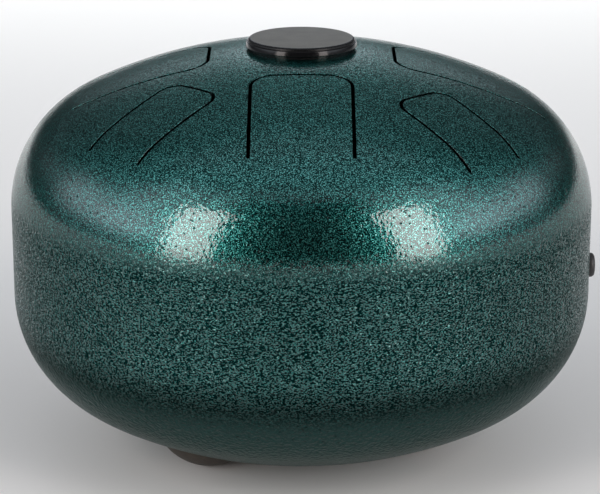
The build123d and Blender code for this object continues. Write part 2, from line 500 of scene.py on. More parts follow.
@dataclass(frozen=True)
class HammeredPaint:
    """Glossy deep green paint over fine silvery flakes.

    It has an orange-peel skin with pinholes, and it wrinkles on the walls. Its colour holds painted light and
    shade:
    it is made lighter on the top and the walls than on the shoulder, and painted shade darkens the creases,
    the pinholes, the slots' walls and the bowl underneath, and thins the clear film there. A level is how far
    the surface's normal points up: 1 on the crown, 0 on a wall and -1 underneath. Each band or level gives
    two values, where an effect starts and where it is full.
    """

    ground: Colour = (0.0003, 0.011, 0.0105)
    flake_green: Colour = (0.004, 0.078, 0.070)
    flake_silver: Colour = (0.08, 0.32, 0.292)
    flake_edge: Colour = (0.48, 0.55, 0.53)
    flake_roughness: float = 0.33
    flake_size: float = 0.42 * MM
    flake_tilt: float = 0.05 * MM
    tilt_scale: float = 0.8
    cluster_scale: float = 2.6
    cluster_share: float = 0.23
    cover_band: Band = (0.455, 0.545)
    glint_band: Band = (0.52, 0.68)
    top_level: Band = (0.40, 0.85)
    top_light_gain: float = 1.6
    shoulder_level: Band = (0.80, 0.55)
    wall_level: Band = (0.22, 0.0)
    wall_light_gain: float = 1.3
    wall_cover: float = 0.85
    wall_glint: float = 0.2
    wall_swell: float = 8.0
    bowl_shade_level: Band = (0.04, -0.34)
    bowl_shade_gain: float = 0.32
    slot_shade_level: Band = (0.5, 0.3)
    slot_shade_reach: Band = (103.0 * MM, 100.0 * MM)
    slot_shade_gain: float = 0.12
    wrinkle_size: float = 0.61 * MM
    wrinkle_stretch: tuple[float, float, float] = (0.8, 0.8, 1.3)
    wrinkle_depth: float = 0.14 * MM
    wrinkle_band: Band = (0.445, 0.60)
    wrinkle_top_level: Band = (-0.05, 0.27)
    wrinkle_low_level: Band = (-0.15, -0.62)
    pit_spacing: float = 2.3 * MM
    pit_depth: float = 0.05 * MM
    pit_band: Band = (0.06, 0.22)
    pit_drift: float = 0.9 * MM
    pit_drift_size: float = 2.2 * MM
    peel_size: float = 1.3 * MM
    peel_depth: float = 0.09 * MM
    film_band: Band = (0.40, 0.60)
    clear_thin: float = 0.03
    clear_thick: float = 0.70
    clear_shoulder: float = 0.75
    clear_wall: float = 0.9
    clear_roughness: float = 0.04
    clear_density: float = 1.7

    def pinholes(self, bench: NodeBench, place: NodeSocket) -> NodeSocket:
        """Scatters pinholes unevenly over the paint.

        Args:
            bench: The paint's bench.
            place: The coordinate on the piece.

        Returns:
            0 in a pinhole and 1 away from it.
        """
        inputs = {"Vector": place, "Scale": 1.0 / self.pit_drift_size, "Detail": 1.0}
        wander = bench.add("ShaderNodeTexNoise", inputs).outputs["Color"]
        drift = bench.scaled(bench.vector("SUBTRACT", wander, (0.5, 0.5, 0.5)), self.pit_drift)
        uneven = bench.vector("ADD", place, drift)
        inputs = {"Vector": uneven, "Scale": 1.0 / self.pit_spacing}
        cells = bench.add("ShaderNodeTexVoronoi", inputs, feature="F1")
        return bench.fit(cells.outputs["Distance"], *self.pit_band)

    def wrinkles(self, bench: NodeBench, place: NodeSocket, level: NodeSocket) -> NodeSocket:
        """Wrinkles the paint on the walls, and not on the top or underneath.

        Args:
            bench: The paint's bench.
            place: The coordinate on the piece.
            level: How far the surface's normal points up.

        Returns:
            0 in a crease and 1 on a fold or away from the walls.
        """
        flat = bench.vector("MULTIPLY", place, self.wrinkle_stretch)
        fold = bench.fit(bench.noise(flat, self.wrinkle_size, detail=1.5, rough=0.5), *self.wrinkle_band)
        over = bench.fit(level, *self.wrinkle_top_level)
        under = bench.fit(level, *self.wrinkle_low_level)
        return bench.math("MAXIMUM", fold, bench.math("MAXIMUM", over, under))

    def material(self) -> Material:
        """Builds the paint's nodes.

        Returns:
            The paint.
        """
        paint, bench, place, shader = new_material(PaintSlot.SHELL.value)
        # Where on the drum a point is: on a wall, on the shoulder, in a slot or on the bowl. The slot and
        # bowl masks are painted shade, which darkens the colour and the clear film there.
        level = bench.add("ShaderNodeSeparateXYZ", {0: place.node.outputs["Normal"]}).outputs["Z"]
        wall = bench.fit(level, *self.wall_level)
        shoulder = bench.fit(level, *self.shoulder_level)
        # Painted shade on the slots' walls: steep faces inside the shoulder ring get a darker colour and a
        # thinner clear film.
        steep = bench.fit(bench.math("ABSOLUTE", level), *self.slot_shade_level)
        cut = bench.times(steep, bench.fit(bench.reach(place), *self.slot_shade_reach))
        # Painted shade underneath: the colour and the clear film darken down the bowl.
        bowl = bench.fit(level, *self.bowl_shade_level, 1.0, self.bowl_shade_gain)
        # deep holds the painted shade of the bowl and the slots' walls, for both the colour and the clear
        # film.
        deep = bench.times(bowl, bench.fit(cut, 0.0, 1.0, 1.0, self.slot_shade_gain))

        # The relief: orange peel, wrinkles and pinholes.
        pit = self.pinholes(bench, place)
        crease = self.wrinkles(bench, place, level)
        # low is painted shade in the creases and pinholes: it turns the flakes to the dark ground and thins
        # the clear film there.
        low = bench.times(bench.fit(crease, 0.0, 1.0), pit)
        peel = bench.math("SUBTRACT", bench.noise(place, self.peel_size, detail=1.0, rough=0.35), 0.5)
        swell = bench.times(peel, bench.fit(wall, 0.0, 1.0, 1.0, self.wall_swell))
        waves = bench.bump(swell, self.peel_depth)
        folds = bench.bump(crease, self.wrinkle_depth, waves)
        relief = bench.bump(pit, self.pit_depth, folds)

        # The flakes and the dark ground between them, with the painted shade of the creases and pinholes
        # showing the ground.
        flake = bench.noise(place, self.flake_size, detail=1.0, rough=0.5)
        cluster = bench.noise(place, self.cluster_scale * self.flake_size, detail=1.0, rough=0.5)
        shares = bench.times(flake, 1.0 - self.cluster_share), bench.times(cluster, self.cluster_share)
        spread = bench.math("ADD", *shares)
        grain = bench.math("MAXIMUM", bench.fit(spread, *self.cover_band), bench.times(wall, self.wall_cover))
        cover = bench.times(grain, low)
        body = bench.mix(cover, self.ground, self.flake_green)
        few = bench.fit(wall, 0.0, 1.0, 1.0, self.wall_glint)
        glints = bench.times(bench.fit(flake, *self.glint_band), few, cover)
        colour = bench.mix(glints, body, self.flake_silver)
        # Painted light: the colour is made lighter on the top and on the walls than on the shoulder.
        top = bench.fit(level, *self.top_level, 1.0, self.top_light_gain)
        painted_light_gain = bench.times(top, bench.fit(wall, 0.0, 1.0, 1.0, self.wall_light_gain))
        tilt = bench.noise(place, self.tilt_scale * self.flake_size, detail=0.0, rough=0.0)

        # The clear film over them: patchy on top, even on the shoulder and the walls, and thinned by painted
        # shade in the creases, pinholes, slots and underneath.
        film = bench.fit(spread, *self.film_band, self.clear_thin, self.clear_thick)
        even = bench.times(shoulder, bench.fit(wall, 0.0, 1.0, self.clear_shoulder, self.clear_wall))
        set_inputs(bench, shader, {
            "Base Color": bench.scaled(colour, bench.times(painted_light_gain, deep)),
            "Metallic": 1.0,
            "Specular Tint": self.flake_edge,
            "Roughness": self.flake_roughness,
            "Normal": bench.bump(tilt, self.flake_tilt, relief),
            "Coat Weight": bench.times(low, deep, bench.mix(shoulder, film, even)),
            "Coat Roughness": self.clear_roughness,
            "Coat IOR": self.clear_density,
            "Coat Normal": relief,
        })
        return paint


@dataclass(frozen=True)
class GlossMoulding:
    """Glossy black moulded plastic, with faint flow marks and dust."""

    colour: Colour = (0.004, 0.004, 0.0045)
    dust: Colour = (0.018, 0.018, 0.018)
    dust_share: float = 0.5
    speck_size: float = 0.5 * MM
    speck_band: Band = (0.58, 0.74)
    flow_size: float = 4.0 * MM
    flow_depth: float = 0.02 * MM
    wear_size: float = 1.4 * MM
    wear_band: Band = (0.3, 0.75)
    roughness: float = 0.11
    worn_roughness: float = 0.21
    gloss: float = 0.3

    def material(self) -> Material:
        """Builds the plastic's nodes.

        Returns:
            The plastic.
        """
        plastic, bench, place, shader = new_material(PaintSlot.PLUG.value)
        specks = bench.fit(bench.noise(place, self.speck_size, detail=3.0, rough=0.7), *self.speck_band)
        flow = bench.noise(place, self.flow_size, detail=2.0, rough=0.5)
        wear = bench.noise(place, self.wear_size, detail=3.0, rough=0.6)
        set_inputs(bench, shader, {
            "Base Color": bench.mix(bench.times(specks, self.dust_share), self.colour, self.dust),
            "Roughness": bench.fit(wear, *self.wear_band, self.roughness, self.worn_roughness),
            "Specular IOR Level": self.gloss,
            "Normal": bench.bump(flow, self.flow_depth),
        })
        return plastic


@dataclass(frozen=True)
class BadgeGrain:
    """Black disc whose flat top is a matt grey face with a fine eggshell grain."""

    face_radius: float
    colour: Colour = (0.118, 0.117, 0.102)
    shade: Colour = (0.080, 0.080, 0.070)
    edge: Colour = (0.003, 0.003, 0.0033)
    edge_blend: float = 0.1 * MM
    edge_smooth: float = 0.2
    grain_size: float = 0.35 * MM
    grain_depth: float = 0.02 * MM
    grain_band: Band = (0.3, 0.7)
    grain_share: float = 0.6
    cloud_size: float = 7.0 * MM
    shade_band: Band = (0.35, 0.65)
    roughness: Band = (0.42, 0.58)
    gloss: float = 0.22

    def material(self) -> Material:
        """Builds the disc's nodes.

        Returns:
            The finish.
        """
        finish, bench, place, shader = new_material(PaintSlot.BADGE.value)
        grain = bench.noise(place, self.grain_size, detail=3.0, rough=0.6)
        cloud = bench.noise(place, self.cloud_size, detail=2.0, rough=0.5)
        shares = bench.times(grain, self.grain_share), bench.times(cloud, 1.0 - self.grain_share)
        face = bench.mix(bench.fit(bench.math("ADD", *shares), *self.shade_band), self.shade, self.colour)
        border = self.face_radius - self.edge_blend, self.face_radius + self.edge_blend
        bare = bench.fit(bench.reach(place), *border)
        satin = bench.fit(grain, *self.grain_band, *self.roughness)
        set_inputs(bench, shader, {
            "Base Color": bench.mix(bare, face, self.edge),
            "Roughness": bench.math("SUBTRACT", satin, bench.times(bare, self.edge_smooth)),
            "Specular IOR Level": self.gloss,
            "Normal": bench.bump(grain, self.grain_depth),
        })
        return finish


@dataclass(frozen=True)
class SatinRubber:
    """Dark satin rubber or plastic with a fine moulded grain and a little dust."""

    name: str
    colour: Colour
    dust: Colour
    roughness: float
    roughness_spread: float = 0.07
    grain_size: float = 0.3 * MM
    grain_depth: float = 0.03 * MM
    grain_band: Band = (0.3, 0.7)
    patch_size: float = 3.0 * MM
    patch_band: Band = (0.45, 0.75)
    dust_share: float = 0.6

    def material(self) -> Material:
        """Builds the rubber's nodes.

        Returns:
            The rubber.
        """
        rubber, bench, place, shader = new_material(self.name)
        grain = bench.noise(place, self.grain_size, detail=3.0, rough=0.6)
        patches = bench.fit(bench.noise(place, self.patch_size, detail=4.0, rough=0.65), *self.patch_band)
        sheen = self.roughness - self.roughness_spread, self.roughness + self.roughness_spread
        set_inputs(bench, shader, {
            "Base Color": bench.mix(bench.times(patches, self.dust_share), self.colour, self.dust),
            "Roughness": bench.fit(grain, *self.grain_band, *sheen),
            "Normal": bench.bump(grain, self.grain_depth),
        })
        return rubber


def dress(piece: Object, finish: Material, body: str | None = BODY) -> Object:
    """Gives a piece its finish and the body that it rides on.

    Args:
        piece: The piece.
        finish: Its material.
        body: The body that it rides on, or None to leave the piece unattached.

    Returns:
        The piece.
    """
    piece.data.materials.clear()
    piece.data.materials.append(finish)
    if body is not None:
        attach(piece, body)
    return piece


# The two shells.


@dataclass(frozen=True)
class HeadForm:
    """The section of a pressed half, measured from the seam: a straight wall, a knuckle and a dome."""

    radius: float
    dome: float
    wall: float
    knuckle: float = 44.2 * MM

    @property
    def knuckle_centre(self) -> float:
        """How far the knuckle's centre is from the axis."""
        return self.radius - self.knuckle

    @property
    def dome_centre(self) -> float:
        """The height of the dome's centre."""
        return self.wall - sqrt((self.dome - self.knuckle) ** 2 - self.knuckle_centre**2)

    @property
    def meeting_angle(self) -> float:
        """The angle from the axis at which the dome runs into the knuckle."""
        return atan2(self.knuckle_centre, self.wall - self.dome_centre)

    def lean(self, r: float, depth: float = 0.0) -> float:
        """The angle between the axis and the surface's normal.

        Args:
            r: How far from the axis.
            depth: The depth in the sheet.

        Returns:
            The angle.
        """
        if r <= (self.dome - depth) * sin(self.meeting_angle):
            return asin(r / (self.dome - depth))
        return asin(min(1.0, (r - self.knuckle_centre) / (self.knuckle - depth)))

    def height(self, r: float, depth: float = 0.0) -> float:
        """The surface's height over the seam.

        Args:
            r: How far from the axis.
            depth: The depth in the sheet.

        Returns:
            The height.
        """
        lean = self.lean(r, depth)
        if lean <= self.meeting_angle:
            return self.dome_centre + (self.dome - depth) * cos(lean)
        return self.wall + (self.knuckle - depth) * cos(lean)

    def section(self, first_lean: float, depth: float, facets: int) -> list[Flat]:
        """Points of the section from an angle on the dome or knuckle out to the wall's start.

        Args:
            first_lean: The angle from the axis at which it starts.
            depth: The depth in the sheet.
            facets: About how many lines stand for a quarter circle.

        Returns:
            Points as radius and height.
        """
        knots = [first_lean, pi / 2]
        if first_lean < self.meeting_angle:
            knots.insert(1, self.meeting_angle)
        out: list[Flat] = []
        for a, b in zip(knots, knots[1:]):
            for lean in steps(a, b, max(2, ceil(facets * (b - a) / (pi / 2)))):
                on_dome = b <= self.meeting_angle
                centre = (0.0, self.dome_centre) if on_dome else (self.knuckle_centre, self.wall)
                bend = (self.dome if on_dome else self.knuckle) - depth
                out.append((centre[0] + bend * sin(lean), centre[1] + bend * cos(lean)))
        moves = [hypot(p[0] - q[0], p[1] - q[1]) for p, q in zip(out[1:], out)]
        return out[:1] + [p for p, move in zip(out[1:], moves) if move > SAME_POINT]


@dataclass(frozen=True)
class TonguePlan:
    """A tongue seen from above, by the centre line of its slot: along from the axis outwards, and across."""

    name: str
    body: str
    outward: Flat
    tip: float
    root: float
    half_width: float
    kind: TongueKind
    line_step: float = 1.6 * MM
    corner_facets: int = 12
    end_facets: int = 8

    @classmethod
    def from_joint(cls, joint: dict[str, Any], kerf: float) -> "TonguePlan":
        """Reads a tongue's place and outline from the frame.

        Args:
            joint: The joint at its root.
            kerf: The width of the slot round it.

        Returns:
            The tongue's plan.
        """
        name = joint["name"].removesuffix("_tongue_bend")
        x, y = joint["pos_m"][:2]
        root = hypot(x, y)
        out = (x / root, y / root)
        mesh = bpy.data.objects[f"tongue_{name}"].data
        along = [v.co.x * out[0] + v.co.y * out[1] for v in mesh.vertices]
        across = [v.co.y * out[0] - v.co.x * out[1] for v in mesh.vertices]
        half = max(across) + kerf / 2
        kind = TongueKind.WIDE if half > WIDE_FROM else TongueKind.NARROW
        return cls(name, joint["child"], out, min(along) - kerf / 2, root, half, kind)

    def place(self, along: float, across: float) -> Flat:
        """The point of the plan at a distance along and across the tongue."""
        return (
            along * self.outward[0] - across * self.outward[1],
            along * self.outward[1] + across * self.outward[0],
        )

    def local(self, x: float, y: float) -> Flat:
        """How far a point of the plan is along and across the tongue."""
        return (
            x * self.outward[0] + y * self.outward[1],
            y * self.outward[0] - x * self.outward[1],
        )

    def slot_line(self, end: float, side: SlotSide) -> list[tuple[Flat, Flat]]:
        """The slot's centre line with the direction out of the tongue, from one root end to the other.

        Args:
            end: How far along the slot's rounded ends are centred.
            side: The shell's side goes round the slot's ends too.

        Returns:
            Pairs of a point and a direction, both along and across.
        """
        corner, half = self.kind.value, self.half_width
        shoulder = self.tip + corner
        line: list[tuple[Flat, Flat]] = []
        if side is SlotSide.SHELL:
            line += [((end, -half), (sin(a), cos(a))) for a in steps(0.0, pi, self.end_facets)[:-1]]
        flat = half - corner
        side_runs, tip_runs = [max(2, round(length / self.line_step)) for length in (end - shoulder, flat)]
        line += [((a, -half), (0.0, -1.0)) for a in steps(end, shoulder, side_runs)[:-1]]
        for turn in steps(0.0, pi / 2, self.corner_facets):
            point = (shoulder - corner * sin(turn), corner - half - corner * cos(turn))
            line.append((point, (-sin(turn), -cos(turn))))
        line += [((self.tip, c), (-1.0, 0.0)) for c in steps(-flat, 0.0, tip_runs)[1:]]
        mirrored = [((a, -c), (u, -v)) for (a, c), (u, v) in reversed(line[:-1])]
        return line + mirrored

    def distance(self, along: float, across: float) -> float:
        """How far a point is from the slot's centre line.

        Args:
            along: How far along the tongue the point is.
            across: How far across it.

        Returns:
            The distance, below 0 inside the line.
        """
        corner = self.kind.value
        u, v = self.tip + corner - along, abs(across) - (self.half_width - corner)
        return hypot(max(u, 0.0), max(v, 0.0)) + min(max(u, v), 0.0) - corner


@dataclass
class CutSheet:
    """One face of the upper sheet in plan: triangles for the shell and for each tongue, and their borders."""

    points: list[Flat] = field(default_factory=list)
    triangles: dict[str, list[tuple[int, int, int]]] = field(default_factory=dict)
    borders: dict[tuple[str, str], list[int]] = field(default_factory=dict)


@dataclass
class UpperShell:
    """The upper half and its eight tongues, from one sheet so that the paint runs on over their roots."""

    form: HeadForm
    seam: float
    sheet: float
    crown_hole: float
    tongues: list[TonguePlan]
    rim_face: float
    rim_root: float
    kerf: float = 1.2 * MM
    edge_round: float = 0.18 * MM
    edge_facets: int = 4
    shoulder_radius: float = 103.0 * MM
    ring_sides: int = 320
    hole_sides: int = 128
    knuckle_facets: int = 60
    outer_spacing: float = 2.4 * MM
    inner_spacing: float = 4.0 * MM
    border_room: float = 0.55
    bend_share: float = 0.55

    def cut_plan(self, offset: float, spacing: float) -> CutSheet:
        """Cuts the dome's plan into triangles, with the slots' borders as edges.

        Args:
            offset: How far the borders stand from the slots' centre lines.
            spacing: About how far apart the other points are.

        Returns:
            The cut plan.
        """
        plan = CutSheet()
        edges: list[tuple[int, int]] = []

        def chain(key: tuple[str, str], points: Iterable[Flat], ends: Sequence[int] = ()) -> None:
            """Adds a border.

            Args:
                key: The border's kind and its tongue's name.
                points: The border's new points.
                ends: Two points that are there already, which it runs between.
            """
            row = list(ends[:1])
            for p in points:
                plan.points.append(p)
                row.append(len(plan.points) - 1)
            row += ends[1:]
            plan.borders[key] = row
            edges.extend(zip(row, row[1:]))

        rings = {"rim": (self.shoulder_radius, self.ring_sides), "hole": (self.crown_hole, self.hole_sides)}
        for key, (radius, sides) in rings.items():
            chain((key, ""), around(radius, sides))
            row = plan.borders[(key, "")]
            edges.append((row[-1], row[0]))
        for tongue in self.tongues:
            end = tongue.root - self.kerf / 2
            for side in SlotSide:
                row = [
                    tongue.place(a + side.value * offset * u, c + side.value * offset * v)
                    for (a, c), (u, v) in tongue.slot_line(end, side)
                ]
                if side is SlotSide.SHELL:
                    chain(("shell", tongue.name), row)
                else:
                    border = plan.borders[("shell", tongue.name)]
                    ends = border[0], border[-1]
                    chain(("tongue", tongue.name), row[1:-1], ends)
            reach = tongue.half_width - offset
            runs = max(4, round(2 * reach / spacing))
            line = [tongue.place(end, c) for c in steps(-reach, reach, runs)[1:-1]]
            chain(("root", tongue.name), line, ends)
        plan.points += list(self.field_points(offset, spacing))
        cut = delaunay_2d_cdt([Vector(p) / MM for p in plan.points], edges, [], 0, SAME_POINT_MM, True)
        origin = [ids[0] for ids in cut[3]]
        for triangle in cut[2]:
            ring = tuple(origin[v] for v in triangle)
            x, y = [sum(plan.points[v][k] for v in ring) / 3 for k in (0, 1)]
            owner = self.owner(x, y, offset)
            if owner is not None:
                plan.triangles.setdefault(owner, []).append(ring)
        return plan

    def field_points(self, offset: float, spacing: float) -> Iterable[Flat]:
        """Points spread evenly over the plan, clear of every border.

        Args:
            offset: How far the borders stand from the slots' centre lines.
            spacing: About how far apart the points are.

        Yields:
            Points of the plan.
        """
        rings = round((self.shoulder_radius - self.crown_hole) / spacing)
        for i, r in enumerate(steps(self.crown_hole, self.shoulder_radius, rings)[1:-1]):
            count = round(2 * pi * r / spacing)
            for k in range(count):
                turn = 2 * pi * (k + 0.5 * (i % 2)) / count
                x, y = r * cos(turn), r * sin(turn)
                if all(self.clear_of(t, x, y, offset, self.border_room * spacing) for t in self.tongues):
                    yield (x, y)

    def clear_of(self, tongue: TonguePlan, x: float, y: float, offset: float, room: float) -> bool:
        """Tells whether a point keeps clear of a tongue's slot and root line.

        Args:
            tongue: The tongue.
            x: The point's place in the plan.
            y: The same, towards the back.
            offset: How far the borders stand from the slot's centre line.
            room: How far the point has to be from the borders.

        Returns:
            Whether it does.
        """
        a, c = tongue.local(x, y)
        end = tongue.root - self.kerf / 2
        if a <= end + room and abs(tongue.distance(a, c)) < offset + room:
            return False
        if hypot(a - end, abs(c) - tongue.half_width) < offset + room:
            return False
        return not (abs(a - end) < room and abs(c) < tongue.half_width + offset + room)

    def owner(self, x: float, y: float, offset: float) -> str | None:
        """Finds the piece that a point is on.

        Args:
            x: The point's place in the plan.
            y: The same, towards the back.
            offset: How far the borders stand from the slots' centre lines.

        Returns:
            A tongue's name, "shell", or None in a slot or the crown hole.
        """
        if hypot(x, y) < self.crown_hole:
            return None
        for tongue in self.tongues:
            a, c = tongue.local(x, y)
            end = tongue.root - self.kerf / 2
            if a < end and a > 0:
                gap = tongue.distance(a, c)
                if gap < -offset:
                    return tongue.name
                if gap < offset:
                    return None
            elif hypot(a - end, abs(c) - tongue.half_width) < offset:
                return None
        return "shell"

    def on_sheet(self, p: Flat, depth: float = 0.0, below: float = 0.0) -> Vector:
        """The point over a point of the plan, on the sheet at a depth and then straight down."""
        return Vector((p[0], p[1], self.seam + self.form.height(hypot(*p), depth) - below))

    def sheet_normal(self, p: Flat, depth: float = 0.0) -> Vector:
        """The outward normal of the sheet over a point of the plan.

        Args:
            p: The point of the plan.
            depth: The depth in the sheet.

        Returns:
            The normal.
        """
        r = hypot(*p)
        lean = self.form.lean(r, depth)
        return Vector((p[0] / r * sin(lean), p[1] / r * sin(lean), cos(lean)))

    def lay_faces(
        self, draft: MeshDraft, owner: str, outer: CutSheet, inner: CutSheet
    ) -> tuple[dict[int, int], dict[int, int]]:
        """Lays the outer and inner faces of one piece of the sheet.

        Args:
            draft: The mesh to add to.
            owner: The piece, "shell" or a tongue's name.
            outer: The plan of the outer face.
            inner: The plan of the inner face.

        Returns:
            For each of the two plans, the mesh's point for each of its points.
        """
        laid: list[dict[int, int]] = []
        for plan, depth, sign in ((outer, 0.0, 1.0), (inner, self.sheet, -1.0)):
            known: dict[int, int] = {}
            for ring in plan.triangles[owner]:
                for v in ring:
                    if v not in known:
                        known[v] = draft.point(self.on_sheet(plan.points[v], depth))
                normals = [sign * self.sheet_normal(plan.points[v], depth) for v in ring]
                draft.face([known[v] for v in ring], normals)
            laid.append(known)
        return laid[0], laid[1]

    def lay_slot_wall(
        self,
        draft: MeshDraft,
        tongue: TonguePlan,
        side: SlotSide,
        outer: tuple[CutSheet, dict[int, int]],
        inner: tuple[CutSheet, dict[int, int]],
    ) -> None:
        """Lays one wall of a slot with its rounded top edge, and the face across the root under it.

        Args:
            draft: The mesh to add to.
            tongue: The tongue in the slot.
            side: The side that the wall is on.
            outer: The plan of the outer face and the mesh's points for it.
            inner: The same for the inner face.
        """
        key = (side.name.lower(), tongue.name)
        line = tongue.slot_line(tongue.root - self.kerf / 2, side)
        into_slot = [Vector((*tongue.place(-side.value * u, -side.value * v), 0.0)) for _, (u, v) in line]
        rows = [[outer[1][v] for v in outer[0].borders[key]]]
        row_normals = [[self.sheet_normal(outer[0].points[v]) for v in outer[0].borders[key]]]
        for turn in steps(0.0, pi / 2, self.edge_facets)[1:]:
            offset = side.value * (self.kerf / 2 + self.edge_round * (1 - sin(turn)))
            row, normals = [], []
            for ((a, c), (u, v)), across in zip(line, into_slot):
                p = tongue.place(a + offset * u, c + offset * v)
                row.append(draft.point(self.on_sheet(p, 0.0, self.edge_round * (1 - cos(turn)))))
                normals.append(cos(turn) * self.sheet_normal(p) + sin(turn) * across)
            rows.append(row)
            row_normals.append(normals)
        rows.append([inner[1][v] for v in inner[0].borders[key]])
        row_normals.append(into_slot)
        for i in range(len(rows) - 1):
            draft.strip(rows[i], rows[i + 1], row_normals[i], row_normals[i + 1])
        root = ("root", tongue.name)
        over = [outer[1][v] for v in outer[0].borders[root]]
        under = [inner[1][v] for v in inner[0].borders[root]]
        ring = over + [row[-1] for row in rows[1:-1]] + under[::-1] + [row[0] for row in rows[-2:0:-1]]
        facing = Vector((*tongue.outward, 0.0)) * -side.value
        draft.face(ring, [facing] * len(ring))

    def lay_shoulder(self, draft: MeshDraft, top: list[int], under: list[int]) -> None:
        """Lays the knuckle and wall from the dome's rim down to the seam, outside and inside.

        Args:
            draft: The mesh to add to.
            top: The points of the dome's rim outside.
            under: The points of the dome's rim inside.
        """
        turns = [2 * pi * k / self.ring_sides for k in range(self.ring_sides)]
        last: list[list[int]] = []
        faces = (top, 0.0, 1.0, self.rim_face), (under, self.sheet, -1.0, self.rim_root)
        for row, depth, sign, foot in faces:
            lean = self.form.lean(self.shoulder_radius, depth)
            section = self.form.section(lean, depth, self.knuckle_facets) + [(self.form.radius - depth, foot)]
            for r, h in section[1:]:
                new = [draft.point((r * cos(t), r * sin(t), self.seam + h)) for t in turns]
                next_lean = self.form.lean(r, depth) if h > self.form.wall else pi / 2
                normals = [
                    [sign * Vector((cos(t) * sin(a), sin(t) * sin(a), cos(a))) for t in turns]
                    for a in (lean, next_lean)
                ]
                draft.strip(row, new, *normals, closed=True)
                row, lean = new, next_lean
            last.append(row)
        slope = Vector((self.rim_root - self.rim_face, -self.sheet)).normalized()
        normals = [Vector((cos(t) * slope.x, sin(t) * slope.x, slope.y)) for t in turns]
        draft.strip(last[0], last[1], normals, normals, closed=True)

    def build(self, paint: Material) -> list[Object]:
        """Builds the shell and its tongues and dresses them.

        Args:
            paint: The drum's paint.

        Returns:
            The shell and the eight tongues.
        """
        outer_plan = self.cut_plan(self.kerf / 2 + self.edge_round, self.outer_spacing)
        inner_plan = self.cut_plan(self.kerf / 2, self.inner_spacing)
        draft = MeshDraft()
        outer, inner = self.lay_faces(draft, "shell", outer_plan, inner_plan)
        laid = (outer_plan, outer), (inner_plan, inner)
        for tongue in self.tongues:
            self.lay_slot_wall(draft, tongue, SlotSide.SHELL, *laid)
        rims, holes = [
            [[known[v] for v in plan.borders[(key, "")]] for plan, known in laid] for key in ("rim", "hole")
        ]
        self.lay_shoulder(draft, *rims)
        inwards = [Vector((-cos(t), -sin(t), 0.0)) for t in steps(0.0, 2 * pi, self.hole_sides)[:-1]]
        draft.strip(*holes, inwards, inwards, closed=True)
        shell = dress(draft.to_object("upper_shell_painted"), paint)
        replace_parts(shell, "upper_shell")
        return [shell] + [self.build_tongue(t, outer_plan, inner_plan, paint) for t in self.tongues]

    def build_tongue(
        self, tongue: TonguePlan, outer_plan: CutSheet, inner_plan: CutSheet, paint: Material
    ) -> Object:
        """Builds one tongue, from its tip to its root line.

        Args:
            tongue: The tongue.
            outer_plan: The plan of the sheet's outer face.
            inner_plan: The plan of its inner face.
            paint: The drum's paint.

        Returns:
            The tongue.
        """
        draft = MeshDraft()
        outer, inner = self.lay_faces(draft, tongue.name, outer_plan, inner_plan)
        self.lay_slot_wall(draft, tongue, SlotSide.TONGUE, (outer_plan, outer), (inner_plan, inner))
        piece = dress(draft.to_object(f"tongue_{tongue.name}_painted"), paint, None)
        start = tongue.root - self.kerf / 2
        bent = start + (tongue.tip - start) * self.bend_share
        ends = [self.on_sheet(tongue.place(a, 0.0)) for a in (start, bent)]
        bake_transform(piece)
        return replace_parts(piece, f"tongue_{tongue.name}")


@dataclass
class LowerShell:
    """The lower half: wall, knuckle and shallow bowl, with a sound port and holes for the push-in pieces."""

    form: HeadForm
    seam: float
    sheet: float
    port: float
    rim_face: float
    rim_root: float
    holes: list[tuple[Matrix, float]]
    port_round: float = 0.7 * MM
    ring_sides: int = 320
    outer_facets: int = 80
    inner_facets: int = 60
    hole_sides: int = 48
    cutter_reach: float = 8.0 * MM

    def build(self, paint: Material) -> Object:
        """Builds the bowl and dresses it.

        Args:
            paint: The drum's paint.

        Returns:
            The bowl.
        """
        outer_lean, inner_lean = [asin(self.port / (self.form.dome - depth)) for depth in (0.0, self.sheet)]
        outside = self.form.section(outer_lean, 0.0, self.outer_facets)
        inside = self.form.section(inner_lean, self.sheet, self.inner_facets)
        seam = (self.form.radius, self.rim_face), (self.form.radius - self.sheet, self.rim_root)
        loop = [seam[0], *outside[::-1], *inside, seam[1]]
        lip = (len(outside), len(outside) + 1)
        path = [(r, self.seam - h, self.port_round if i in lip else 0.0) for i, (r, h) in enumerate(loop)]
        bowl = turned("lower_shell_painted", rounded(path), self.ring_sides, closed=True)
        cutters: list[Object] = []
        reach = self.cutter_reach
        for i, (place, radius) in enumerate(self.holes):
            bar = [(0.0, -reach), (radius, -reach), (radius, reach), (0.0, reach)]
            cutters.append(turned(f"cutter_{i}", bar, self.hole_sides, closed=False, place=place))
        carve(bowl, cutters)
        dress(bowl, paint)
        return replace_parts(bowl, "lower_shell")


# Push-in pieces.


@dataclass(frozen=True)
class PushInStem:
    """The barbed stem of a push-in piece, below the mouth of its hole at height 0."""

    hole: float
    sheet: float
    clearance: float = 0.15 * MM
    barb_grip: float = 0.6 * MM
    barb_gap: float = 0.2 * MM
    barb_length: float = 2.4 * MM
    barb_round: float = 0.15 * MM
    end_round: float = 0.3 * MM

    def section(self) -> list[Corner]:
        """The stem's section, from the mouth down to its end on the axis.

        Returns:
            Points as radius, height and the radius that rounds the corner there.
        """
        stem = self.hole - self.clearance
        shoulder = -self.sheet - self.barb_gap
        end = shoulder - self.barb_length
        return [
            (stem, shoulder, 0.0),
            (self.hole + self.barb_grip, shoulder, self.barb_round),
            (stem - self.barb_grip, end, self.end_round),
            (0.0, end, 0.0),
        ]


